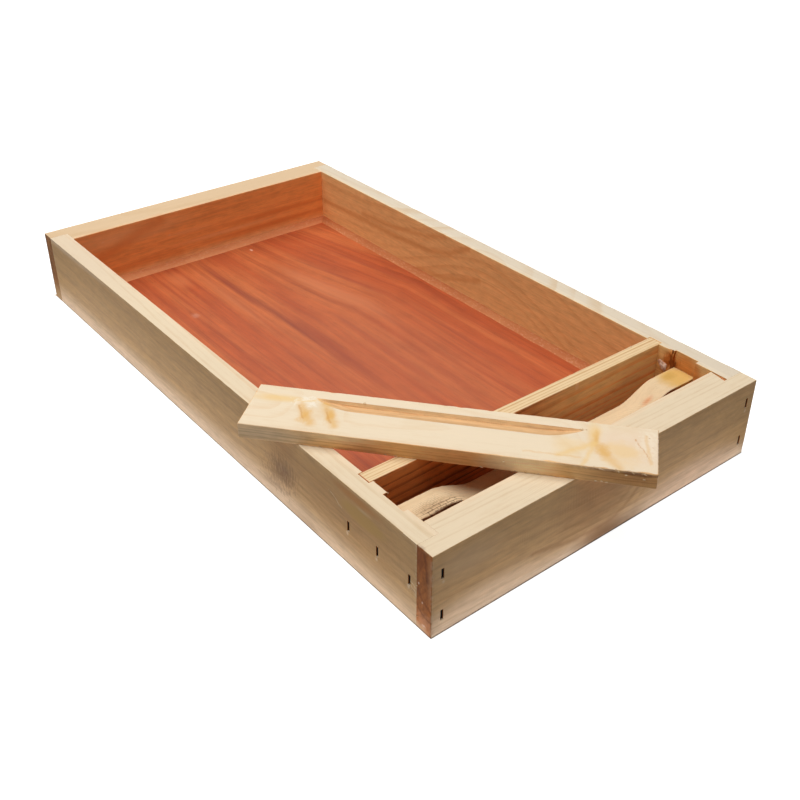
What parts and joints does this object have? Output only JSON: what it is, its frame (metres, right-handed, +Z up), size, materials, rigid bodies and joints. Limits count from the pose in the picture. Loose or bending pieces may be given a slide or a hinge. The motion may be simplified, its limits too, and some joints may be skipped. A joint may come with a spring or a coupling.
{
  "type": "hive top feeder",
  "caption": "Shallow wooden syrup tray that sits on a hive body, with a partitioned bee passage behind its front board and a loose cover board with a finger pull laid askew on its rim.",
  "frame": {"origin": "centre of the tray's underside, on the floor panel, without regard to the loose cover", "axes": "+X across the tray to the right, +Y from the front board to the back board, +Z up"},
  "size_m": [0.2952, 0.5342, 0.068],
  "materials": {
    "pine_board": "planed softwood, unfinished",
    "pine_planed": "finely planed softwood, unfinished",
    "pine_sawn": "softwood with a band-sawn top",
    "plywood": "red-brown hardwood-faced plywood",
    "sealant": "matt clear-brown sealant",
    "staple_wire": "dull steel wire"
  },
  "bodies": {
    "tray": {"front_board": "pine_board", "back_board": "pine_board", "left_side": "pine_board", "right_side": "pine_board", "floor_panel": "plywood", "partition": "pine_planed", "bee_weir": "pine_sawn", "seal_bead_back": "sealant", "seal_bead_left": "sealant", "seal_bead_right": "sealant", "seal_bead_weir": "sealant", "front_corner_staples": "staple_wire", "back_corner_staples": "staple_wire", "front_board_staples": "staple_wire", "partition_staples": "staple_wire", "weir_staples": "staple_wire", "floor_staples": "staple_wire"},
    "cover": {"cover_board": "pine_planed"}
  },
  "joints": [
    {"name": "cover_lift", "type": "slide", "parent": "tray", "child": "cover", "axis": [0, 0, 1], "range_m": [0, 0.15]}
  ]
}
